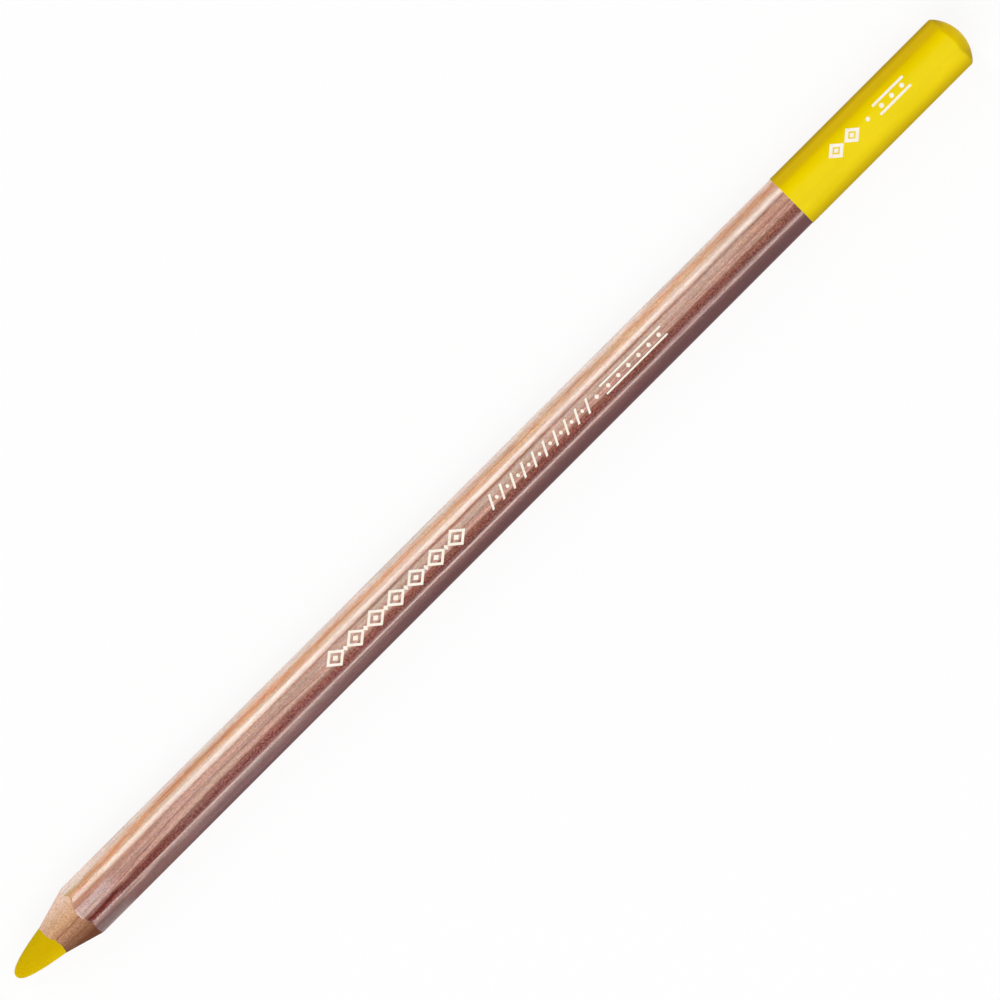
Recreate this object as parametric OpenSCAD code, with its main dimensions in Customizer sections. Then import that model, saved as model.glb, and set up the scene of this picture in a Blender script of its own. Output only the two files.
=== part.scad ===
// Pastel pencil, lying on one of its six flats.
// Two grooved cedar slats are glued round a pastel core and shaped to a rounded hexagon.
// One end is sharpened, the other is domed and dipped in lacquer.
// X runs from the point to the dipped end, and Z is up.

/* [Barrel] */
// Length from the tip of the core to the crown of the domed end
pencil_len = 175; // [120:1:200]
// Width of the bare wood across two opposite flats
across_flats = 7.3; // [6.8:0.1:9]
// Radius of the six long edges
edge_r = 1.4; // [0.4:0.1:1.6]

/* [Core] */
// Diameter of the pastel core
core_d = 4.8; // [3:0.1:5]
// Length of core that stands out of the sharpened wood
core_out = 6.7; // [4:0.1:9]
// Fullness of the worn nose: 0.5 is a paraboloid, and less is blunter
nose_power = 0.43; // [0.35:0.01:0.6]

/* [Sharpened cone] */
// Full angle of the cone that the sharpener leaves on the wood
cone_angle = 29.4; // [24:0.2:40]

/* [Dipped end] */
// Length of barrel that the dipped lacquer covers
dip_len = 31.3; // [15:0.1:60]
// Thickness of the lacquer after its several dips
lacquer_t = 0.05; // [0.03:0.01:0.2]
// Radius of the domed end, lacquer included
dome_r = 5.6; // [5.4:0.1:12]

/* [Hidden] */

core_r = core_d / 2;
bore_facets = 96;
turned_facets = 128;
corner_facets = 64;
corner_count = 6;
// Half the turn from one flat to the next
half_turn = 180 / corner_count;
// The hexagon on which the six edge roundings are centred
corner_ring_r = (across_flats / 2 - edge_r) / cos(half_turn);
// Outermost reach of the barrel at its edges, and a radius that clears the lacquer there
edge_reach = corner_ring_r + edge_r;
clearance = 0.3;
clear_r = edge_reach + lacquer_t + clearance;
// Where the wood's cone would end in a point, which is ahead of the tip
cone_slope = tan(cone_angle / 2);
cone_apex = core_out - core_r / cone_slope;
// Centre of the dome, and the end of the wood inside the lacquer
dome_centre = pencil_len - dome_r;
bare_dome_r = dome_r - lacquer_t;
dip_start = pencil_len - dip_len;
// Height of the pencil's axis above the surface that it lies on
axis_height = across_flats / 2 + lacquer_t;
nose_steps = 40;

cedar = "#c89a80";
dark_cedar = "#a87462";
pastel_yellow = "#d2b100";
lacquer_yellow = "#e9cc12";

// Turns a piece that is modelled along Z, tip at the origin, to lie along X
module laid_down() {
    translate([-pencil_len / 2, 0, axis_height])
        rotate([90, 0, 90])
            children();
}

// A point at a distance from the axis, turned by an angle
function polar(r, angle) = [r * cos(angle), r * sin(angle)];

// The barrel's section: its flats run between the ends of the six corner rounds
module hexagon_section(film = 0) {
    round_r = edge_r + film;
    corners = [for (k = [0 : corner_count - 1]) k * 360 / corner_count];
    polygon([for (corner = corners)
        for (side = [-half_turn, half_turn])
            polar(corner_ring_r, corner) + polar(round_r, corner + side)]);
    for (corner = corners)
        translate(polar(corner_ring_r, corner))
            circle(r = round_r, $fn = corner_facets);
}

// Everything behind the point, up to a dome of the given radius
module dome_limit(r) {
    rotate_extrude($fn = turned_facets)
        intersection() {
            square([clear_r, pencil_len]);
            union() {
                square([clear_r, dome_centre]);
                translate([0, dome_centre])
                    circle(r = r, $fn = turned_facets);
            }
        }
}

// Everything that the sharpener's cone leaves
module cone_limit() {
    cone_end = cone_apex + clear_r / cone_slope;
    rotate_extrude($fn = turned_facets)
        polygon([[0, cone_apex], [clear_r, cone_end], [clear_r, pencil_len], [0, pencil_len]]);
}

// The two slats glued and shaped, before the core's bore is taken out
module shaped_wood() {
    intersection() {
        linear_extrude(height = pencil_len)
            hexagon_section();
        cone_limit();
        dome_limit(bare_dome_r);
    }
}

// One slat: the half of the barrel above the glue line, with its half-round groove
module slat() {
    difference() {
        intersection() {
            shaped_wood();
            translate([-clear_r, 0, 0])
                cube([2 * clear_r, clear_r, pencil_len]);
        }
        cylinder(h = pencil_len, r = core_r, $fn = bore_facets);
    }
}

// The whole stick: its worn nose swells as a power of the distance from the tip
module pastel_core() {
    nose = [for (step = [0 : nose_steps])
        let (along = core_out * pow(step / nose_steps, 2))
        [core_r * pow(along / core_out, nose_power), along]];
    color(pastel_yellow)
        laid_down()
            intersection() {
                rotate_extrude($fn = bore_facets)
                    polygon(concat(nose, [[core_r, pencil_len], [0, pencil_len]]));
                dome_limit(bare_dome_r);
            }
}

module upper_slat() {
    color(cedar)
        laid_down()
            slat();
}

module lower_slat() {
    color(dark_cedar)
        laid_down()
            mirror([0, 1, 0])
                slat();
}

// The lacquer film: the dipped end of the barrel grown by the film, less the wood and core
module dipped_cap() {
    color(lacquer_yellow)
        laid_down()
            difference() {
                intersection() {
                    translate([0, 0, dip_start])
                        linear_extrude(height = dip_len)
                            hexagon_section(film = lacquer_t);
                    dome_limit(dome_r);
                }
                intersection() {
                    linear_extrude(height = pencil_len)
                        hexagon_section();
                    dome_limit(bare_dome_r);
                }
            }
}

pastel_core();
upper_slat();
lower_slat();
dipped_cap();
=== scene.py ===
import math

import bmesh
import bpy
from mathutils import Matrix, Vector, noise


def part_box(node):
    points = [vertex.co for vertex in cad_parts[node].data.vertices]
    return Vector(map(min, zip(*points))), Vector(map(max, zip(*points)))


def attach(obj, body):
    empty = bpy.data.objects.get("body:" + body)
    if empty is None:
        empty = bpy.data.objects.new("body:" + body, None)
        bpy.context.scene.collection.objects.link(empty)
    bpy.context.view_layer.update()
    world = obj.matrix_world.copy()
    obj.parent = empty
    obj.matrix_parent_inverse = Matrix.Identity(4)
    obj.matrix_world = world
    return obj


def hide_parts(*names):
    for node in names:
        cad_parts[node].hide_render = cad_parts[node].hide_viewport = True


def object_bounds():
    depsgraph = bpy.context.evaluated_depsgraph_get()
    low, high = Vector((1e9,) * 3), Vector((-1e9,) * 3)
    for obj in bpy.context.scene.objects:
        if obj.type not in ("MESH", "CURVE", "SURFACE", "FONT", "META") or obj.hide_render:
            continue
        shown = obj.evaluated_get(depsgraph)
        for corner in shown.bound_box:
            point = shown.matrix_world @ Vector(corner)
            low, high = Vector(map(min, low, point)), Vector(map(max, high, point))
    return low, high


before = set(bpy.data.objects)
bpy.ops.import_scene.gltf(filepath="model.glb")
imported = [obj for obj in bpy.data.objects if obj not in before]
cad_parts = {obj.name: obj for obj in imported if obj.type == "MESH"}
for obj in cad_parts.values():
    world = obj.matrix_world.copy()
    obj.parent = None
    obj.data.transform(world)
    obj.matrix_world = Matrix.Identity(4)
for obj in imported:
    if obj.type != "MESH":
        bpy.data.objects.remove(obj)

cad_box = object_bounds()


# Pastel core.
# A stick of pigment, chalk and binder, extruded and dried, and glued in along the whole pencil.
# The sharpener cuts its nose together with the wood, and drawing then wears it blunt.

core_low, core_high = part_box("pastel_core")
wood_low, wood_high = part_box("upper_slat")
axis_z = wood_low.z
core_r = core_high.y
tip_x = core_low.x
core_end_x = core_high.x
joint_x = wood_low.x
nose_length = joint_x - tip_x
# The nose widens as this power of the distance from its tip, and its rings crowd towards the tip
nose_power = 0.43
nose_rings = 56
nose_ring_crowding = 2.2
core_steps = 128
# One dome rounds off the rear of core and wood, and the lacquer later covers it
bare_dome_r = 0.00555
# The ring half way up the core's crown: shares of the crown's width and depth
crown_ring_width, crown_ring_depth = 0.55, 0.3
# The sharpener's cone cuts wood and core as one
cone_slope = math.tan(math.radians(29.4 / 2))
# The edge between core and wood runs back and forth round the cone, because the core is off centre
# and chips: degrees round from the top, and millimetres behind its mean place
joint_waves = [
    (-180, 0.1), (-85, 0.14), (-60, 0.3), (-33, 0.42), (-24, 0.38), (-16, 0.28), (-8, 0.38), (-1, 0.18),
    (6, 0.02), (14, -0.12), (28, -0.19), (40, -0.19), (85, -0.1), (180, 0.1),
]
# Farther in than this, core and groove are plain and round
cover_depth = 0.0008
# Pores and scuffs that the sharpener and the paper leave on the nose: how deep they are in metres, and
# how many there are to a metre
wear_depth = 0.000012
coarse_wear = 900
fine_wear = 2300
fine_wear_share = 0.6
# A cloudy pattern's values practically run from the first of these to the second
cloud_low, cloud_high = 0.3, 0.7


def lag_at(waves, point):
    """How far back an edge lies in the direction of a point, eased between the places of a table."""
    turn = math.degrees(math.atan2(point.y, point.z))
    for (start, lag), (end, next_lag) in zip(waves, waves[1:]):
        if start <= turn <= end:
            share = (turn - start) / (end - start)
            return 0.001 * (lag + (next_lag - lag) * share * share * (3 - 2 * share))


def finish_mesh(piece_name, bm, *materials):
    """Turns a bmesh that was shaped round the X axis into a piece in its place."""
    bmesh.ops.remove_doubles(bm, verts=bm.verts, dist=2e-7)
    bmesh.ops.recalc_face_normals(bm, faces=bm.faces)
    bmesh.ops.translate(bm, verts=bm.verts, vec=(0, 0, axis_z))
    mesh = bpy.data.meshes.new(piece_name)
    bm.to_mesh(mesh)
    bm.free()
    for material in materials:
        mesh.materials.append(material)
    piece = bpy.data.objects.new(piece_name, mesh)
    bpy.context.scene.collection.objects.link(piece)
    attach(piece, "root")
    return piece


def paint(red, green, blue):
    """A colour from 0 to 255 a channel, as the linear colour that a shader takes."""
    shares = [channel / 255 for channel in (red, green, blue)]
    return [s / 12.92 if s <= 0.04045 else ((s + 0.055) / 1.055) ** 2.4 for s in shares] + [1.0]


def start_material(material_name):
    """A new material, its node tree and its principled shader."""
    material = bpy.data.materials.new(material_name)
    material.use_nodes = True
    return material, material.node_tree, material.node_tree.nodes["Principled BSDF"]


def plug(tree, socket, source):
    """Links a socket to another node's output, or sets it to a number or a colour."""
    if isinstance(source, bpy.types.NodeSocket):
        tree.links.new(source, socket)
    else:
        socket.default_value = source


def work_out(tree, operation, *numbers):
    """The result of one Math node."""
    node = tree.nodes.new("ShaderNodeMath")
    node.operation = operation
    for socket, source in zip(node.inputs, numbers):
        plug(tree, socket, source)
    return node.outputs["Value"]


def place_in_mm(tree, stretch=(1.0, 1.0, 1.0), shift=(0.0, 0.0, 0.0)):
    """A point's place in millimetres from the middle of the pencil's axis, stretched and shifted."""
    coordinates = tree.nodes.new("ShaderNodeTexCoord")
    mapping = tree.nodes.new("ShaderNodeMapping")
    mapping.inputs["Scale"].default_value = [1000 * share for share in stretch]
    mapping.inputs["Location"].default_value = shift
    mapping.inputs["Location"].default_value[2] -= 1000 * axis_z * stretch[2]
    tree.links.new(coordinates.outputs["Object"], mapping.inputs["Vector"])
    return mapping.outputs["Vector"]


def mottle(tree, grains_to_mm, shift=(0.0, 0.0, 0.0), detail=2.0, roughness=0.5):
    """A cloudy pattern, with so many grains to a millimetre along each axis."""
    node = tree.nodes.new("ShaderNodeTexNoise")
    node.inputs["Scale"].default_value = 1.0
    node.inputs["Detail"].default_value = detail
    node.inputs["Roughness"].default_value = roughness
    tree.links.new(place_in_mm(tree, grains_to_mm, shift), node.inputs["Vector"])
    return node.outputs["Fac"]


def spread(tree, value, low, high, to_low=0.0, to_high=1.0, kind="LINEAR"):
    """Maps a value from one range to another, and holds it at both ends."""
    node = tree.nodes.new("ShaderNodeMapRange")
    node.interpolation_type = kind
    for socket, source in zip(node.inputs, (value, low, high, to_low, to_high)):
        plug(tree, socket, source)
    return node.outputs["Result"]


def swing(tree, pattern, to_low=0.0, to_high=1.0):
    """Maps the whole run of a cloudy pattern to a range."""
    return spread(tree, pattern, cloud_low, cloud_high, to_low, to_high)


def mix_colours(tree, share, first, second, blend_type="MIX"):
    """The result of one colour Mix node."""
    node = tree.nodes.new("ShaderNodeMix")
    node.data_type = "RGBA"
    node.blend_type = blend_type
    for socket, source in zip((node.inputs[0], node.inputs[6], node.inputs[7]), (share, first, second)):
        plug(tree, socket, source)
    return node.outputs[2]


def raise_bumps(tree, height, distance, strength=1.0):
    """A Bump node's normal, for a height that is worth a distance in metres."""
    node = tree.nodes.new("ShaderNodeBump")
    node.inputs["Strength"].default_value = strength
    node.inputs["Distance"].default_value = distance
    plug(tree, node.inputs["Height"], height)
    return node.outputs["Normal"]


# The nose's half outline is drawn from the tip back, and spun round the axis
core_mesh = bmesh.new()
outline = [core_mesh.verts.new((tip_x, 0, 0))]
for ring in range(1, nose_rings + 1):
    share = (ring / nose_rings) ** nose_ring_crowding
    outline.append(core_mesh.verts.new((tip_x + share * nose_length, 0, core_r * share ** nose_power)))
groove_start_x = joint_x + cover_depth
crown_depth = bare_dome_r - math.sqrt(bare_dome_r ** 2 - core_r ** 2)
for x, r in (
    (groove_start_x, core_r),
    (core_end_x - crown_depth, core_r),
    (core_end_x - crown_depth * crown_ring_depth, core_r * crown_ring_width),
    (core_end_x, 0),
):
    outline.append(core_mesh.verts.new((x, 0, r)))
for nearer, farther in zip(outline, outline[1:]):
    core_mesh.edges.new((nearer, farther))
bmesh.ops.spin(
    core_mesh,
    geom=core_mesh.verts[:] + core_mesh.edges[:],
    cent=(0, 0, 0),
    axis=(1, 0, 0),
    angle=math.tau,
    steps=core_steps,
    use_merge=True,
)
bmesh.ops.remove_doubles(core_mesh, verts=core_mesh.verts, dist=1e-8)
for vert in core_mesh.verts:
    share = (vert.co.x - tip_x) / nose_length
    reach = math.hypot(vert.co.y, vert.co.z)
    on_nose = share < 1.001
    if on_nose and reach > 0:
        shift = lag_at(joint_waves, vert.co)
        wear = noise.noise(vert.co * coarse_wear) + fine_wear_share * noise.noise(vert.co * fine_wear)
        wear *= wear_depth * math.sqrt(1 - min(share, 1))
        growth = 1 + shift * cone_slope / core_r + wear / reach
        vert.co.x += share * shift
        vert.co.y *= growth
        vert.co.z *= growth

chalk, tree, shader = start_material("pastel_chalk")
deep_chalk = paint(211, 180, 0)
light_chalk = paint(223, 192, 0)
handled_chalk = paint(213, 182, 0)
loose_dust = paint(236, 206, 40)
grains = mottle(tree, (7.0, 9.0, 9.0), detail=3.0, roughness=0.65)
clouds = mottle(tree, (0.5, 0.9, 0.9))
speckled = mix_colours(tree, swing(tree, grains), deep_chalk, light_chalk)
clouded = mix_colours(tree, spread(tree, clouds, 0.35, 0.65, 0.0, 0.35), speckled, handled_chalk)
dust = spread(tree, mottle(tree, (4.0, 4.0, 4.0), (6.0, 2.0, 0)), 0.62, 0.68, 0.0, 0.16)
plug(tree, shader.inputs["Base Color"], mix_colours(tree, dust, clouded, loose_dust))
shader.inputs["Roughness"].default_value = 0.92
shader.inputs["Diffuse Roughness"].default_value = 0.9
shader.inputs["Specular IOR Level"].default_value = 0.05
plug(tree, shader.inputs["Normal"], raise_bumps(tree, grains, 0.00003, 0.8))

core = finish_mesh("pastel_stick", core_mesh, chalk)
core.data.shade_smooth()
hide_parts("pastel_core")


# Upper slat.
# One of two cedar boards that are grooved for the cores, glued round them and planed to six flats.
# The barrel is varnished before it is sharpened, so the cone at the front is raw cut wood.

flats_reach = wood_high.z - axis_z
edge_reach = wood_high.y
half_turn = math.radians(30)
edge_r = (flats_reach - edge_reach * math.cos(half_turn)) / (1 - math.cos(half_turn))
bare_dome_x = core_end_x - bare_dome_r
crown_x = bare_dome_x + math.sqrt(bare_dome_r ** 2 - core_r ** 2)
flat_steps = 22
arc_steps = 12
cone_rings = 34
barrel_rings = 60
# The cut edge is ragged, coarsely and finely: how far in metres, and how many nicks there are to a metre
nick_depth = 0.00005
coarse_nicks = 900
fine_nicks = 2600
fine_nick_share = 0.5
# The cut's foremost and hindmost places: degrees round from the top, and how far behind a true cone
# it runs there, in millimetres
cut_scallops = [
    (-180, 0.2), (-150, 1.2), (-120, 0.35), (-90, 0.8), (-58, 0.66), (-35, 0.78), (-8, 0.2),
    (8, 0.2), (38, 1.05), (64, 0.5), (90, 0.85), (120, 0.35), (150, 1.2), (180, 0.2),
]
# Cut fibres stand up on the cone, longer along it than across it, and fade in over the first quarter
# of a millimetre above the core
fibre_depth = 0.000012
fibres_along = 1300
fibres_across = 5200
fibre_fade = 0.00025
# The places of a board's materials in its list
varnished, cut_film, raw, hidden = range(4)


def draw_barrel_outline(bm, reach, corner_r):
    """Draws the barrel's six flats and round edges round the X axis, as one closed line."""
    half_flat = (reach - corner_r) * math.tan(half_turn)
    pen = bm.verts.new((0, -half_flat, reach))
    for turn in range(6):
        aim = Matrix.Rotation(math.radians(-60 * turn), 3, "X")
        for _ in range(flat_steps):
            pen = bmesh.ops.extrude_vert_indiv(bm, verts=[pen])["verts"][0]
            pen.co += aim @ Vector((0, 2 * half_flat / flat_steps, 0))
        arc = bmesh.ops.spin(
            bm,
            geom=[pen],
            cent=aim @ Vector((0, half_flat, reach - corner_r)),
            axis=(-1, 0, 0),
            angle=2 * half_turn,
            steps=arc_steps,
        )
        pen = arc["geom_last"][0]
    bmesh.ops.remove_doubles(bm, verts=bm.verts, dist=1e-7)
    return bm.edges[:]


def pull_ring(bm, ring, move, surface):
    """Extrudes a closed line of edges, moves the new line's points, and returns it."""
    grown = bmesh.ops.extrude_edge_only(bm, edges=ring)["geom"]
    for vert in grown:
        if isinstance(vert, bmesh.types.BMVert):
            vert.co = move(vert.co)
    for face in grown:
        if isinstance(face, bmesh.types.BMFace):
            face.material_index = surface
    return [edge for edge in grown if isinstance(edge, bmesh.types.BMEdge) and edge.is_boundary]


def reach_of(point):
    """A point's distance from the pencil's axis."""
    return math.hypot(point.y, point.z)


def cut_x(point):
    """Where the sharpener's cone comes out through the barrel at a point of its outline."""
    ragged = noise.noise(Vector((0, point.y, point.z)) * coarse_nicks)
    ragged += fine_nick_share * noise.noise(Vector((4, point.y * fine_nicks, point.z * fine_nicks)))
    true_x = joint_x + (flats_reach - core_r) / cone_slope
    return true_x + lag_at(cut_scallops, point) + nick_depth * ragged


def joint_point(point):
    """Where the wood's front edge meets the core, in the direction of a point."""
    shift = lag_at(joint_waves, point)
    share = (core_r + shift * cone_slope) / reach_of(point)
    return Vector((joint_x + shift, point.y * share, point.z * share))


def bore_point(point, x):
    """A point of the groove for the core, in the direction of a point."""
    share = core_r / reach_of(point)
    return Vector((x, point.y * share, point.z * share))


def dome_point(point, share, dome_r, dome_x):
    """A point of the domed end, at a share of the way from the axis out to a point of the barrel."""
    reach = reach_of(point) * share
    return Vector((dome_x + math.sqrt(dome_r ** 2 - reach ** 2), point.y * share, point.z * share))


def shape_slat(keep_above):
    """One half of the wooden barrel: sharpened in front, domed behind, and grooved for the core."""
    bm = bmesh.new()
    mouth = draw_barrel_outline(bm, flats_reach, edge_r)
    for vert in bm.verts:
        vert.co.x = cut_x(vert.co)
    # The cone, in rings close enough to hold its cut fibres, with the cut varnish as its outermost ring
    rim = mouth
    for ring in range(cone_rings, 0, -1):
        surface = cut_film if ring == cone_rings else raw
        rim = pull_ring(bm, rim, lambda co: co.lerp(joint_point(co), 1 / ring), surface)
    fixed = {vert for edge in mouth for vert in edge.verts}
    for vert in set(bm.verts) - fixed:
        rise = min(1, (reach_of(vert.co) - core_r) / fibre_fade)
        fibre = noise.noise(vert.co * Vector((fibres_along, fibres_across, fibres_across)))
        vert.co.yz *= 1 + fibre_depth * fibre * rise / reach_of(vert.co)
    bore = pull_ring(bm, rim, lambda co: bore_point(co, groove_start_x), hidden)
    bore = pull_ring(bm, bore, lambda co: bore_point(co, crown_x), hidden)
    # The varnished flats, back to the end that lies bare inside the lacquer
    skin = mouth
    for ring in range(barrel_rings, 0, -1):
        skin = pull_ring(
            bm,
            skin,
            lambda co: co.lerp(dome_point(co, 1, bare_dome_r, bare_dome_x), 1 / ring),
            varnished,
        )
    pull_ring(bm, skin, lambda co: bore_point(co, crown_x), hidden)
    bmesh.ops.remove_doubles(bm, verts=bm.verts, dist=1e-7)
    bmesh.ops.bisect_plane(
        bm,
        geom=bm.verts[:] + bm.edges[:] + bm.faces[:],
        dist=1e-8,
        plane_co=(0, 0, 0),
        plane_no=(0, 0, 1),
        clear_inner=keep_above,
        clear_outer=not keep_above,
    )
    open_edges = [edge for edge in bm.edges if edge.is_boundary]
    for face in bmesh.ops.holes_fill(bm, edges=open_edges, sides=0)["faces"]:
        face.material_index = hidden
    return bm


def cedar_board(tree, lean, phase):
    """Where a point lies along a board, across it, and across its growth rings, in millimetres."""
    axes = tree.nodes.new("ShaderNodeSeparateXYZ")
    tree.links.new(place_in_mm(tree), axes.inputs["Vector"])
    along, side = axes.outputs["X"], axes.outputs["Y"]
    across = work_out(tree, "MULTIPLY_ADD", axes.outputs["Z"], lean, side)
    # The rings run a little off the board's length, and wander
    for wander in (
        spread(tree, along, -76, -52, 0.5, 0.0, "SMOOTHSTEP"),
        spread(tree, along, -10, 50, 0.0, -0.16, "SMOOTHSTEP"),
        swing(tree, mottle(tree, (0.05, 0.3, 0.3), (phase, 0, 0)), -0.12, 0.12),
        swing(tree, mottle(tree, (0.5, 1.2, 1.2), (phase, 3, 0)), -0.08, 0.08),
    ):
        across = work_out(tree, "ADD", across, wander)
    return along, side, across


# How far a table of colours can reach to either side, in millimetres
ramp_reach = 5.0


def colours_across(tree, across, stops):
    """A colour by where a point lies across the pencil or its growth rings, from (mm, colour) stops."""
    ramp = tree.nodes.new("ShaderNodeValToRGB")
    plug(tree, ramp.inputs["Fac"], spread(tree, across, -ramp_reach, ramp_reach))
    elements = ramp.color_ramp.elements
    while len(elements) < len(stops):
        elements.new(0.5)
    for element, (place, *colour) in zip(elements, stops):
        element.position = (place + ramp_reach) / (2 * ramp_reach)
        element.color = paint(*colour)
    return ramp.outputs["Color"]


def colours_along(tree, along, across, stretches):
    """Blends the colours of one stretch of the pencil into those of the next."""
    colour = None
    for start, end, stops in stretches:
        rings = colours_across(tree, across, stops)
        share = spread(tree, along, start, end, kind="SMOOTHSTEP")
        colour = mix_colours(tree, share, colour, rings) if colour else rings
    return colour


def shade(tree, colour, tone):
    """Multiplies a colour by a tone, which is 1 where the colour stays as it is."""
    grey = tree.nodes.new("ShaderNodeCombineColor")
    for socket in grey.inputs:
        plug(tree, socket, tone)
    return mix_colours(tree, 1.0, colour, grey.outputs["Color"], "MULTIPLY")


def tint(tree, colour, share, first, second):
    """Multiplies a colour by a mix of two tints."""
    tinted = mix_colours(tree, share, (*first, 1.0), (*second, 1.0))
    return mix_colours(tree, 1.0, colour, tinted, "MULTIPLY")


def within(tree, across, low, high, fade=0.2):
    """A share of 1 where a point lies between two places across the rings, which fades outside them."""
    rise = spread(tree, across, low - fade, low + fade)
    fall = spread(tree, across, high + fade, high - fade)
    return work_out(tree, "MULTIPLY", rise, fall)


def grain_line(tree, colour, along, side, start, turns, depth):
    """Draws a fine dark line of late wood, which wanders across a board from turn to turn."""
    place = start[1]
    for (from_mm, _), (to_mm, to_side) in zip([start] + turns, turns):
        place = spread(tree, along, from_mm, to_mm, place, to_side, "SMOOTHSTEP")
    waver = swing(tree, mottle(tree, (0.35, 0.1, 0.1), (start[0], 0, 0)), -0.05, 0.05)
    off = work_out(tree, "ABSOLUTE", work_out(tree, "SUBTRACT", work_out(tree, "ADD", side, waver), place))
    broken = spread(tree, mottle(tree, (0.3, 3.0, 3.0), (start[0], 5, 0)), cloud_low, 0.55, 0.35, 1.0)
    late_wood = paint(112, 66, 56)
    share = work_out(tree, "MULTIPLY", spread(tree, off, 0.03, 0.1, depth, 0.0), broken)
    return mix_colours(tree, share, colour, late_wood)


def varnished_colour(tree, board, phase, fibres, pores, stretches, flecked, streaked, lines):
    """Cedar under varnish, with its growth rings, resin streaks, dark cells and grain lines."""
    along, side, across = board
    pale_resin = paint(228, 144, 92)
    deep_resin = paint(200, 98, 66)
    dark_cell = paint(88, 30, 30)
    colour = colours_along(tree, along, across, stretches)
    # Resin streaks in one pale ring
    streaks = spread(tree, mottle(tree, (0.4, 3.0, 3.0), (phase, 7, 0)), 0.42, 0.56, 0.0, 0.55)
    streaks = work_out(tree, "MULTIPLY", streaks, within(tree, across, *streaked))
    deep = spread(tree, mottle(tree, (0.5, 4.0, 4.0), (phase, 5, 3)), 0.52, 0.6)
    colour = mix_colours(tree, streaks, colour, mix_colours(tree, deep, pale_resin, deep_resin))
    # Dark cells in one dark ring
    cells = spread(tree, mottle(tree, (3.0, 4.4, 4.4), (phase, 0, 9)), 0.44, 0.6, 0.0, 0.65)
    cells = work_out(tree, "MULTIPLY", cells, within(tree, across, *flecked))
    colour = mix_colours(tree, cells, colour, dark_cell)
    for start, turns, depth in lines:
        colour = grain_line(tree, colour, along, side, start, turns, depth)
    plain = colour
    # Fibres, pores, and broader clouds and bands of tone
    clouds = mottle(tree, (0.08, 0.9, 0.9), (phase, 6, 0), detail=1.0)
    bands = mottle(tree, (0.05, 2.8, 2.8), (phase, 4, 0), detail=1.0)
    colour = shade(tree, colour, swing(tree, fibres, 0.87, 1.13))
    colour = shade(tree, colour, swing(tree, pores, 0.74, 1.26))
    colour = shade(tree, colour, swing(tree, clouds, 0.92, 1.08))
    colour = shade(tree, colour, spread(tree, bands, 0.56, 0.64, 1.02, 0.88))
    # The wood turns warmer and cooler in small patches, and rosier in long ones
    warmth = swing(tree, mottle(tree, (1.2, 3.0, 3.0), (phase, 8, 4), detail=1.0))
    colour = tint(tree, colour, warmth, (0.97, 1.0, 1.1), (1.03, 1.0, 0.9))
    rosiness = spread(tree, mottle(tree, (0.14, 1.8, 1.8), (phase, 2, 7)), 0.36, 0.64)
    colour = tint(tree, colour, rosiness, (0.98, 1.02, 1.01), (1.05, 0.96, 0.98))
    # The palest ring, which carries part of a painted highlight along the upper round edge, is kept even
    even = work_out(tree, "MULTIPLY", within(tree, across, 1.8, 2.6), 0.55)
    return mix_colours(tree, even, colour, plain)


def raw_colour(tree, board, phase, fibres, stops, lines):
    """Cedar cut by the sharpener, with torn cells, specks and grain lines."""
    along, side, across = board
    dark_speck = paint(96, 54, 36)
    shaded_wood_by_core = paint(84, 50, 34)
    colour = colours_across(tree, across, stops)
    # Torn cells catch the light
    torn = spread(tree, mottle(tree, (3.6, 4.4, 4.4), (phase, 9, 2), roughness=0.7), 0.4, 0.6)
    colour = tint(tree, colour, torn, (0.87, 0.79, 0.73), (1.11, 1.16, 1.19))
    specks = spread(tree, mottle(tree, (3.0, 3.6, 3.6), (phase, 1, 6)), 0.56, 0.68, 0.0, 0.5)
    specks = work_out(tree, "MULTIPLY", specks, within(tree, across, -1.8, 0.3))
    colour = mix_colours(tree, specks, colour, dark_speck)
    colour = shade(tree, colour, swing(tree, fibres, 0.95, 1.05))
    for start, turns, depth in lines:
        colour = grain_line(tree, colour, along, side, start, turns, depth)
    # Low on one side, next to the core, where the cone turns away from the light, painted shade darkens the
    # wood
    dark = spread(tree, along, -79.2, -80.6, 0.0, 0.5)
    dark = work_out(tree, "MULTIPLY", dark, spread(tree, side, -1.6, -2.4))
    return mix_colours(tree, dark, colour, shaded_wood_by_core)


def cut_film_colour(tree, board, colour):
    """The varnish's cut edge, amber over one pale ring, with a painted highlight over the rings next to the
    middle.
    """
    _, _, across = board
    amber = paint(206, 164, 84)
    painted_edge_highlight = paint(240, 222, 200)
    colour = mix_colours(tree, within(tree, across, 2.6, 3.5), colour, amber)
    edge_highlight_share = work_out(tree, "MULTIPLY", within(tree, across, 0.2, 1.0), 0.3)
    return mix_colours(tree, edge_highlight_share, colour, painted_edge_highlight)


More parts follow.
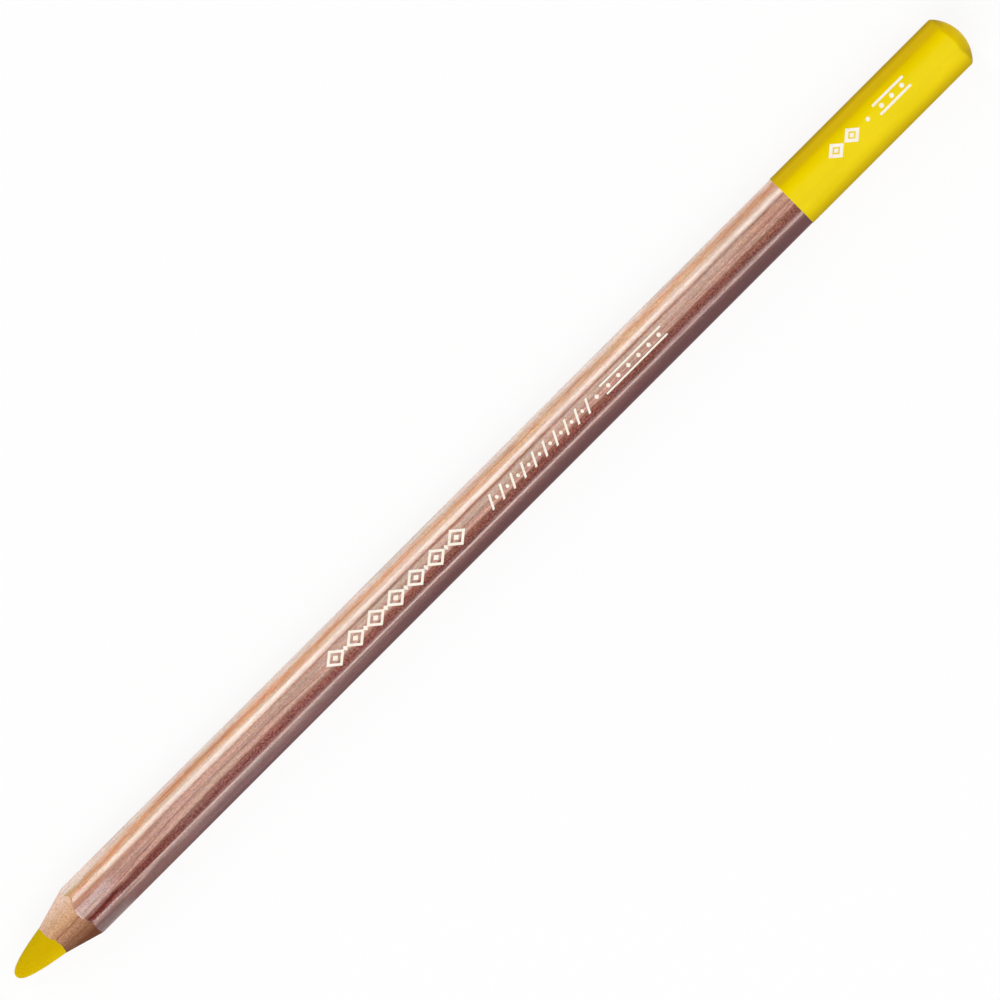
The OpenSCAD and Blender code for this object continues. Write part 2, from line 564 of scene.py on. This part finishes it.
def cedar_materials(board_name, lean, phase, stretches, raw_stops, flecked, streaked, lines, raw_lines):
    """A board's materials: varnished, cut varnish, raw, and raw again for what is hidden."""
    made = []
    for finish_name in ("varnished", "varnish_edge", "raw"):
        material, tree, shader = start_material(f"{board_name}_{finish_name}")
        board = cedar_board(tree, lean, phase)
        fibres = mottle(tree, (0.22, 4.4, 4.4), (phase, 0, 0), detail=3.0, roughness=0.6)
        pores = mottle(tree, (3.4, 6.2, 6.2), (phase, 0, 5), roughness=0.7)
        if finish_name == "raw":
            colour = raw_colour(tree, board, phase, fibres, raw_stops, raw_lines)
            shader.inputs["Roughness"].default_value = 0.78
            shader.inputs["Specular IOR Level"].default_value = 0.25
            plug(tree, shader.inputs["Normal"], raise_bumps(tree, pores, 0.00002, 0.5))
        else:
            colour = varnished_colour(
                tree, board, phase, fibres, pores, stretches, flecked, streaked, lines
            )
            shader.inputs["Roughness"].default_value = 0.34
            shader.inputs["Specular IOR Level"].default_value = 0.0
            shader.inputs["Coat Weight"].default_value = 0.7
            shader.inputs["Coat Roughness"].default_value = 0.14
            plug(tree, shader.inputs["Normal"], raise_bumps(tree, fibres, 0.00001, 0.4))
        if finish_name == "varnish_edge":
            colour = cut_film_colour(tree, board, colour)
        plug(tree, shader.inputs["Base Color"], colour)
        made.append(material)
    return made + made[2:]


# Edges stay sharp where the surface turns by more than the first angle, or by more than the second
# where one finish meets another
crease_turn = math.radians(25)
finish_turn = math.radians(4)


def soften_between_edges(piece):
    """Shades a piece smooth, and keeps the edges where its surfaces or finishes meet at an angle."""
    piece.data.shade_smooth()
    bm = bmesh.new()
    bm.from_mesh(piece.data)
    for edge in bm.edges:
        finishes = {face.material_index for face in edge.link_faces}
        turn = edge.calc_face_angle(0)
        edge.smooth = turn < crease_turn and not (len(finishes) > 1 and turn > finish_turn)
    bm.to_mesh(piece.data)
    bm.free()


# Ring colours: millimetres across the board, then red, green and blue
# These tables also carry painted light. The side towards plus Y is painted lighter and the side
# paint highlights along both round edges of the top flat and a reflection along the outer rim at
# plus Y, and the mouth's table paints a pale, cool sheen over the flats near the cut.
# towards minus Y darker, partly the wood's own tone and partly painted light and shade. Pale stops
mouth_rings_with_painted_light = [
    (-3.6, 138, 118, 110), (-2.8, 120, 89, 87), (-2.1, 105, 66, 58), (-1.72, 158, 122, 112),
    (-1.45, 178, 138, 128), (-1.2, 166, 114, 104), (-0.95, 130, 64, 56), (-0.62, 96, 36, 28),
    (-0.45, 128, 74, 64), (-0.25, 166, 122, 112), (0.0, 196, 158, 148), (0.3, 199, 168, 158),
    (0.5, 191, 163, 155), (0.9, 208, 179, 172), (1.3, 203, 170, 160), (1.6, 192, 144, 124),
    (2.1, 198, 144, 116), (2.5, 211, 172, 145), (2.98, 228, 190, 164), (3.12, 220, 170, 126),
    (3.58, 218, 168, 120), (3.7, 232, 204, 182), (3.9, 244, 220, 204),
]
fore_rings_with_painted_light = [
    (-3.7, 110, 63, 52), (-2.8, 118, 73, 69), (-2.3, 118, 76, 69), (-1.95, 173, 139, 129),
    (-1.5, 148, 95, 79), (-1.1, 126, 68, 62), (-0.6, 134, 80, 69), (-0.4, 163, 113, 99),
    (-0.2, 198, 152, 138), (0.1, 206, 163, 148), (0.45, 185, 143, 129), (0.9, 196, 155, 140),
    (1.3, 192, 148, 132), (1.6, 180, 134, 116), (2.0, 206, 166, 144), (2.5, 226, 198, 174),
    (2.8, 239, 199, 168), (3.2, 234, 167, 117), (3.5, 236, 186, 146), (3.8, 236, 212, 194),
]
middle_rings_with_painted_light = [
    (-3.7, 95, 50, 50), (-3.4, 118, 72, 74), (-2.8, 119, 80, 76), (-2.4, 142, 109, 103),
    (-2.1, 171, 142, 133), (-1.85, 161, 117, 105), (-1.5, 147, 102, 96), (-1.25, 137, 83, 76),
    (-0.9, 161, 107, 98), (-0.55, 153, 105, 92), (-0.35, 177, 134, 120), (-0.1, 199, 162, 146),
    (0.1, 202, 166, 150), (0.5, 184, 147, 131), (0.9, 201, 162, 147), (1.3, 200, 160, 142),
    (1.6, 193, 154, 137), (1.95, 210, 180, 159), (2.4, 240, 214, 197), (2.7, 244, 199, 166),
    (3.0, 234, 168, 115), (3.3, 218, 150, 103), (3.5, 238, 184, 151), (3.8, 242, 221, 207),
]
rear_rings_with_painted_light = [
    (-3.7, 84, 28, 31), (-3.4, 84, 27, 27), (-2.8, 94, 40, 37), (-2.5, 106, 61, 57),
    (-2.3, 128, 90, 84), (-2.1, 142, 95, 85), (-1.85, 170, 135, 127), (-1.5, 134, 92, 84),
    (-1.2, 142, 88, 78), (-0.9, 151, 94, 80), (-0.5, 162, 113, 97), (-0.2, 206, 164, 148),
    (0.1, 210, 168, 152), (0.4, 179, 141, 124), (0.8, 199, 167, 150), (1.2, 203, 175, 158),
    (1.42, 195, 162, 148), (1.6, 174, 132, 114), (1.75, 165, 115, 88), (2.1, 218, 184, 161),
    (2.4, 244, 214, 196), (2.8, 246, 198, 157), (3.1, 232, 184, 141), (3.5, 239, 211, 191),
    (3.8, 245, 224, 212),
]
tail_rings_with_painted_light = [
    (-3.7, 86, 31, 34), (-3.4, 88, 31, 31), (-2.8, 92, 38, 35), (-2.5, 105, 60, 56),
    (-2.3, 127, 89, 83), (-2.1, 139, 92, 82), (-1.85, 173, 140, 132), (-1.5, 130, 92, 84),
    (-1.2, 144, 94, 81), (-0.9, 172, 118, 98), (-0.5, 160, 110, 92), (-0.2, 208, 162, 145),
    (0.1, 200, 158, 141), (0.4, 164, 121, 103), (0.8, 192, 147, 126), (1.2, 200, 160, 139),
    (1.42, 192, 150, 130), (1.6, 172, 125, 104), (1.75, 159, 109, 82), (2.1, 219, 188, 166),
    (2.4, 249, 224, 208), (2.8, 227, 168, 127), (3.1, 223, 163, 121), (3.5, 236, 200, 180),
    (3.8, 244, 223, 211),
]
# On the cut cone the colour is painted paler towards plus Y and darker towards minus Y: partly the
# wood's own heart, partly painted light and shade of the cone turning towards and away from the light.
raw_upper_rings_with_painted_shade = [
    (-2.2, 103, 52, 22), (-1.9, 121, 73, 44), (-1.6, 132, 86, 54), (-1.4, 138, 94, 64),
    (-1.1, 132, 87, 57), (-0.85, 150, 105, 76), (-0.35, 169, 121, 92), (0.0, 180, 132, 100),
    (0.25, 178, 129, 97), (0.45, 171, 121, 89), (0.7, 188, 139, 105), (1.0, 195, 149, 111),
    (1.25, 203, 157, 120), (1.5, 210, 165, 128), (2.0, 210, 167, 131), (2.3, 218, 176, 143),
    (2.6, 228, 186, 155), (3.0, 237, 196, 167), (3.6, 247, 211, 190),
]
upper_cedar = cedar_materials(
    "upper_cedar",
    lean=0.08,
    phase=2.0,
    stretches=[
        (-90, -80, mouth_rings_with_painted_light), (-71, -68.5, fore_rings_with_painted_light), (-64, -55, middle_rings_with_painted_light), (-48, -8, rear_rings_with_painted_light),
        (42, 51, tail_rings_with_painted_light),
    ],
    raw_stops=raw_upper_rings_with_painted_shade,
    flecked=(-1.6, -0.6),
    streaked=(2.75, 3.4),
    lines=[
        ((-75, -0.95), [(-54, 0.42), (-42, 0.15), (-30, -0.2), (-8, -0.1), (14, -0.35), (40, -0.2)], 0.5),
        ((-78, 1.15), [(-60, 1.35), (-35, 1.3), (0, 1.2), (30, 1.32), (52, 1.1)], 0.22),
        ((-70, -1.05), [(-55, -0.86), (-42, -0.73), (-25, -0.7), (0, -0.78), (25, -0.64), (50, -0.7)], 0.45),
    ],
    raw_lines=[((-81, -0.34), [(-75, -0.28)], 0.6), ((-81, -1.3), [(-75, -1.2)], 0.3)],
)
upper_slat = finish_mesh("upper_cedar_slat", shape_slat(keep_above=True), *upper_cedar)
soften_between_edges(upper_slat)
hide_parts("upper_slat")


# Lower slat.
# The other cedar board, from another plank, so its growth rings don't run on from the upper one's.
# It is glued to the upper slat and to the core along the middle of the barrel.

lower_rings = [
    (-4.2, 200, 150, 126), (-3.2, 190, 138, 112), (-2.6, 172, 118, 96), (-2.0, 186, 138, 120),
    (-1.0, 200, 158, 140), (-0.4, 182, 136, 118), (0.6, 196, 152, 134), (1.0, 150, 98, 84),
    (1.5, 144, 90, 78), (1.8, 190, 144, 124), (2.8, 204, 162, 140), (3.4, 188, 138, 112),
    (4.2, 212, 168, 142),
]
raw_lower_rings = [
    (-4.0, 196, 148, 116), (-2.6, 186, 136, 104), (-1.0, 208, 164, 132), (0.6, 202, 156, 122),
    (1.2, 166, 116, 86), (1.8, 198, 152, 118), (4.0, 216, 172, 140),
]
lower_cedar = cedar_materials(
    "lower_cedar",
    lean=-0.1,
    phase=11.0,
    stretches=[(-90, -80, lower_rings)],
    raw_stops=raw_lower_rings,
    flecked=(0.9, 1.6),
    streaked=(-3.4, -2.4),
    lines=[((-80, 0.3), [(-50, -0.6), (-20, -0.2), (20, -0.9), (55, -0.3)], 0.55)],
    raw_lines=[((-81, 0.9), [(-75, 1.0)], 0.4)],
)
lower_slat = finish_mesh("lower_cedar_slat", shape_slat(keep_above=False), *lower_cedar)
soften_between_edges(lower_slat)
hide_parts("lower_slat")


# Dipped cap.
# Several coats of yellow lacquer, dipped over the domed end and dried to a satin film.
# Its front edge is the straight line that the bath's surface leaves.

cap_low, cap_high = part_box("dipped_cap")
film = cap_high.z - wood_high.z
cap_rings = 16
dome_rings = 20
shoulder_round = 0.0002
shoulder_segments = 4

# The film's outer skin is drawn from its front edge back to the dome's tip, and the film has the same
# depth everywhere under it
cap_mesh = bmesh.new()
skin_r = bare_dome_r + film
skin = draw_barrel_outline(cap_mesh, flats_reach + film, edge_r + film)
for vert in cap_mesh.verts:
    vert.co.x = cap_low.x
for ring in range(cap_rings, 0, -1):
    skin = pull_ring(
        cap_mesh,
        skin,
        lambda co: co.lerp(dome_point(co, 1, skin_r, bare_dome_x), 1 / ring),
        0,
    )
shoulder = skin
for ring in range(dome_rings, 1, -1):
    skin = pull_ring(
        cap_mesh,
        skin,
        lambda co: dome_point(co, (ring - 1) / ring, skin_r, bare_dome_x),
        0,
    )
pull_ring(cap_mesh, skin, lambda co: Vector((bare_dome_x + skin_r, 0, 0)), 0)
bmesh.ops.bevel(
    cap_mesh,
    geom=shoulder,
    offset=shoulder_round,
    offset_type="OFFSET",
    segments=shoulder_segments,
    profile=0.5,
    affect="EDGES",
    material=-1,
)
bmesh.ops.remove_doubles(cap_mesh, verts=cap_mesh.verts, dist=2e-7)
bmesh.ops.recalc_face_normals(cap_mesh, faces=cap_mesh.faces)
bmesh.ops.solidify(cap_mesh, geom=cap_mesh.faces[:], thickness=film)

# The lacquer is painted palest on the top flat, with a bluish painted sheen along its middle, and painted
# shade deeper down the sides, along the side edges and towards the dome's flanks: millimetres across the
# pencil, then red, green and blue
flat_lacquer_with_painted_light = [
    (-3.95, 186, 156, 8), (-3.67, 203, 173, 4), (-3.28, 216, 185, 0), (-2.88, 228, 201, 0),
    (-2.62, 235, 208, 10), (-2.1, 237, 210, 26), (-1.3, 238, 212, 30), (0.0, 239, 213, 28),
    (0.66, 239, 212, 24), (1.05, 238, 210, 6), (1.57, 237, 207, 0), (2.1, 236, 203, 0),
    (2.4, 232, 196, 0), (3.3, 231, 192, 0), (3.67, 213, 177, 0), (3.95, 190, 158, 6),
]
dome_lacquer_with_painted_light = [
    (-3.95, 166, 136, 10), (-3.2, 190, 158, 6), (-2.6, 208, 176, 4), (-1.8, 234, 201, 2),
    (0.0, 247, 212, 0), (1.8, 240, 201, 0), (2.6, 216, 178, 0), (3.2, 196, 160, 4),
    (3.95, 168, 136, 8),
]
lacquer, tree, shader = start_material("yellow_lacquer")
axes = tree.nodes.new("ShaderNodeSeparateXYZ")
tree.links.new(place_in_mm(tree), axes.inputs["Vector"])
cap_colour_stretches = [(-90, -80, flat_lacquer_with_painted_light), (85.6, 86.3, dome_lacquer_with_painted_light)]
cap_colour = colours_along(tree, axes.outputs["X"], axes.outputs["Y"], cap_colour_stretches)
pooling = mottle(tree, (0.12, 0.5, 0.5))
orange_peel = mottle(tree, (1.4, 1.4, 1.4))
plug(tree, shader.inputs["Base Color"], shade(tree, cap_colour, swing(tree, pooling, 0.97, 1.03)))
shader.inputs["Roughness"].default_value = 0.42
shader.inputs["Specular IOR Level"].default_value = 0.02
shader.inputs["Specular Tint"].default_value = (1.0, 0.8, 0.0, 1.0)
plug(tree, shader.inputs["Normal"], raise_bumps(tree, orange_peel, 0.00001, 0.4))
cap = finish_mesh("dipped_lacquer_cap", cap_mesh, lacquer)
soften_between_edges(cap)
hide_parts("dipped_cap")


# Foil marks.
# Plain ornaments of cream foil, pressed on the top flat of the barrel and on the cap with a hot die.
# The foil bonds to the varnish, and is thin enough to take on the grain under it.

foil_depth = 0.000012
half_flat = (flats_reach - edge_r) * math.tan(half_turn)
# The marks are cut where they run over a round edge, so that they bend with it
bend_cuts = 4
bend_step = 0.00015
dot_sides = 20
# How large a frame's middle diamond is beside the frame, and a ruled dot beside its two rules' spacing
frame_heart = 0.3
ruled_dot = 0.42
# Where the barrel's marks lie across it, how heavy they are, and where each kind starts and repeats
barrel_line = -0.00009
barrel_stroke = 0.00036
barrel_rule = 0.00025
frame_start, frame_pitch = -0.0284, 0.00373
stud_start = -0.02654
bar_start, bar_pitch = 0.0005, 0.00198
bar_slant = 0.5
bar_dot_start = 0.00149
# The cap's marks lie a little to one side, and are heavier
cap_line = 0.0005
cap_stroke = 0.00044
cap_rule = 0.00034


def press(x, y, length, height, slant=0.0):
    """The matrix that lays a mark of unit size at a place, with its length, height and slant."""
    lean = Matrix(((1, slant, 0, 0), (0, 1, 0, 0), (0, 0, 1, 0), (0, 0, 0, 1)))
    return Matrix.Translation((x, y, 0)) @ lean @ Matrix.Diagonal((length, height, 1, 1))


def press_diamond(bm, x, y, length, height):
    """A solid diamond of foil."""
    return bmesh.ops.create_circle(
        bm, cap_ends=True, segments=4, radius=0.5, matrix=press(x, y, length, height)
    )["verts"][0].link_faces[0]


def press_frame(bm, x, y, length, height, stroke):
    """A diamond of foil that is only its outline, with a small solid one in its middle."""
    face = press_diamond(bm, x, y, length, height)
    bmesh.ops.inset_region(bm, faces=[face], thickness=stroke, use_even_offset=True, use_boundary=True)
    bmesh.ops.delete(bm, geom=[face], context="FACES_ONLY")
    press_diamond(bm, x, y, length * frame_heart, height * frame_heart)


def press_dot(bm, x, y, width):
    """A round dot of foil."""
    bmesh.ops.create_circle(
        bm, cap_ends=True, segments=dot_sides, radius=0.5, matrix=press(x, y, width, width)
    )


def press_bar(bm, x, y, length, height, slant=0.0):
    """A straight bar of foil."""
    bmesh.ops.create_grid(
        bm, x_segments=1, y_segments=1, size=0.5, matrix=press(x, y, length, height, slant)
    )


def press_ruled_dots(bm, start, end, y, height, stroke, dots):
    """Two fine rules with dots between them."""
    middle = (start + end) / 2
    for side in (-1, 1):
        press_bar(bm, middle, y + side * height / 2, end - start, stroke)
    for dot in range(dots):
        press_dot(bm, start + (dot + 0.5) * (end - start) / dots, y, height * ruled_dot)


def bond_foil(piece_name, bm, coating):
    """Lays flat marks on the top flat and over its round edges, and gives them the foil's depth."""
    corner = edge_r + coating
    for side in (-1, 1):
        for cut in range(bend_cuts):
            bmesh.ops.bisect_plane(
                bm,
                geom=bm.verts[:] + bm.edges[:] + bm.faces[:],
                dist=1e-8,
                plane_co=(0, side * (half_flat + cut * bend_step), 0),
                plane_no=(0, 1, 0),
            )
    for vert in bm.verts:
        past = max(0, abs(vert.co.y) - half_flat)
        vert.co.z = flats_reach - edge_r + math.sqrt(corner ** 2 - past ** 2) + foil_depth
    bmesh.ops.recalc_face_normals(bm, faces=bm.faces)
    bmesh.ops.solidify(bm, geom=bm.faces[:], thickness=foil_depth)
    piece = finish_mesh(piece_name, bm, foil)
    return piece


foil, tree, shader = start_material("cream_foil")
cream = paint(249, 240, 222)
pale_cream = paint(251, 246, 236)
wood_through_foil = paint(226, 196, 176)
grain_wear = mottle(tree, (0.5, 5.0, 5.0), (3.0, 0, 0), detail=3.0, roughness=0.6)
patches = spread(tree, mottle(tree, (0.8, 1.6, 1.6), (9.0, 0, 0)), 0.35, 0.65)
foil_colour = mix_colours(tree, patches, cream, pale_cream)
worn = spread(tree, grain_wear, 0.58, 0.7, 0.0, 0.45)
plug(tree, shader.inputs["Base Color"], mix_colours(tree, worn, foil_colour, wood_through_foil))
shader.inputs["Roughness"].default_value = 0.45
shader.inputs["Specular IOR Level"].default_value = 0.3
plug(tree, shader.inputs["Normal"], raise_bumps(tree, grain_wear, 0.000006, 0.4))

barrel_marks = bmesh.new()
for place in range(7):
    x = frame_start + place * frame_pitch
    press_frame(barrel_marks, x, barrel_line, length=0.0033, height=0.0027, stroke=barrel_stroke)
for place in range(6):
    x = stud_start + place * frame_pitch
    press_diamond(barrel_marks, x, barrel_line, length=0.0008, height=0.0008)
for place in range(10):
    x = bar_start + place * bar_pitch
    press_bar(barrel_marks, x, barrel_line, length=barrel_stroke, height=0.0019, slant=bar_slant)
for place in range(9):
    x = bar_dot_start + place * bar_pitch
    press_dot(barrel_marks, x, barrel_line, width=0.0005)
press_dot(barrel_marks, x=0.02, y=barrel_line, width=0.0006)
press_ruled_dots(
    barrel_marks, start=0.0212, end=0.0324, y=barrel_line, height=0.0014, stroke=barrel_rule, dots=6
)
bond_foil("foil_marks_barrel", barrel_marks, coating=0)

cap_marks = bmesh.new()
for x in (0.06495, 0.06785):
    press_frame(cap_marks, x, cap_line, length=0.0028, height=0.0024, stroke=cap_stroke)
press_dot(cap_marks, x=0.0708, y=cap_line, width=0.0006)
press_ruled_dots(
    cap_marks, start=0.0724, end=0.078, y=cap_line, height=0.00155, stroke=cap_rule, dots=3
)
bond_foil("foil_marks_cap", cap_marks, coating=film)


# Floor, lights and camera.
# A white table top under soft boxes, with the camera straight above the pencil.

floor_reach = 3
# Seen straight or mirrored, the table top glows by this share, so that it shows white under soft light
floor_glow = 0.87
floor_mesh = bmesh.new()
bmesh.ops.create_grid(floor_mesh, x_segments=1, y_segments=1, size=floor_reach)
floor_data = bpy.data.meshes.new("table_top")
floor_mesh.to_mesh(floor_data)
floor_mesh.free()
floor = bpy.data.objects.new("table_top", floor_data)
bpy.context.scene.collection.objects.link(floor)
table, tree, shader = start_material("white_table")
shader.inputs["Base Color"].default_value = (0.94, 0.94, 0.94, 1)
shader.inputs["Roughness"].default_value = 0.9
shader.inputs["Specular IOR Level"].default_value = 0.1
glow = tree.nodes.new("ShaderNodeEmission")
rays = tree.nodes.new("ShaderNodeLightPath")
seen = work_out(tree, "MAXIMUM", rays.outputs["Is Camera Ray"], rays.outputs["Is Glossy Ray"])
seen = work_out(tree, "MAXIMUM", seen, rays.outputs["Is Transmission Ray"])
blend = tree.nodes.new("ShaderNodeMixShader")
plug(tree, blend.inputs["Fac"], work_out(tree, "MULTIPLY", seen, floor_glow))
tree.links.new(shader.outputs["BSDF"], blend.inputs[1])
tree.links.new(glow.outputs["Emission"], blend.inputs[2])
tree.links.new(blend.outputs["Shader"], tree.nodes["Material Output"].inputs["Surface"])
floor_data.materials.append(table)


def hang_softbox(name, heading, lean, distance, length, width, brightness):
    """An area lamp aimed at the pencil, on a heading from +Y and leaning off the vertical."""
    lamp = bpy.data.lights.new(name, "AREA")
    lamp.shape = "RECTANGLE"
    lamp.size = length
    lamp.size_y = width
    lamp.energy = brightness * math.pi * length * width
    holder = bpy.data.objects.new(name, lamp)
    turn, fall = math.radians(heading), math.radians(lean)
    away = Vector((math.sin(turn) * math.sin(fall), math.cos(turn) * math.sin(fall), math.cos(fall)))
    holder.location = away * distance
    holder.rotation_euler = away.to_track_quat("Z", "Y").to_euler()
    holder.visible_camera = False
    bpy.context.scene.collection.objects.link(holder)


# The key and the fill are long strips that draw the pale lines along the barrel's edges
hang_softbox("key_softbox", heading=0, lean=47, distance=8, length=0.7, width=9.0, brightness=12.5)
hang_softbox("fill_softbox", heading=180, lean=75, distance=8, length=0.7, width=4.0, brightness=9.5)
hang_softbox("main_softbox", heading=243, lean=40, distance=2, length=2.0, width=1.6, brightness=2.9)
hang_softbox("end_softbox", heading=110, lean=50, distance=2, length=1.6, width=1.2, brightness=1.9)

sky = bpy.data.worlds.new("studio")
bpy.context.scene.world = sky
sky.use_nodes = True
tree = sky.node_tree
background = tree.nodes["Background"]
rays = tree.nodes.new("ShaderNodeLightPath")
seen = work_out(tree, "MAXIMUM", rays.outputs["Is Camera Ray"], rays.outputs["Is Transmission Ray"])
sky_light = 0.15
background.inputs["Color"].default_value = (1, 1, 1, 1)
plug(tree, background.inputs["Strength"], spread(tree, seen, 0, 1, sky_light, 1.0))

heading = math.radians(45.013)
pencil_middle = Vector(((cad_box[0][0] + cad_box[1][0]) / 2, 0, axis_z))
# How much of the table the view takes in, and how far its middle lies right of and above the pencil's
view_width = 0.13105
aim_right = 0.001544
aim_up = 0.000558
camera_distance = 4.0
film_width = 36
camera_data = bpy.data.cameras.new("overhead_camera")
camera_data.sensor_width = film_width
camera_data.lens = film_width * camera_distance / view_width
camera = bpy.data.objects.new("overhead_camera", camera_data)
bpy.context.scene.collection.objects.link(camera)
bpy.context.scene.camera = camera
right = Vector((math.cos(heading), -math.sin(heading), 0))
up = Vector((math.sin(heading), math.cos(heading), 0))
aim = pencil_middle + right * aim_right + up * aim_up
camera.location = aim + Vector((0, 0, camera_distance))
camera.rotation_euler = (0, 0, -heading)

bpy.context.scene.view_settings.view_transform = "Standard"
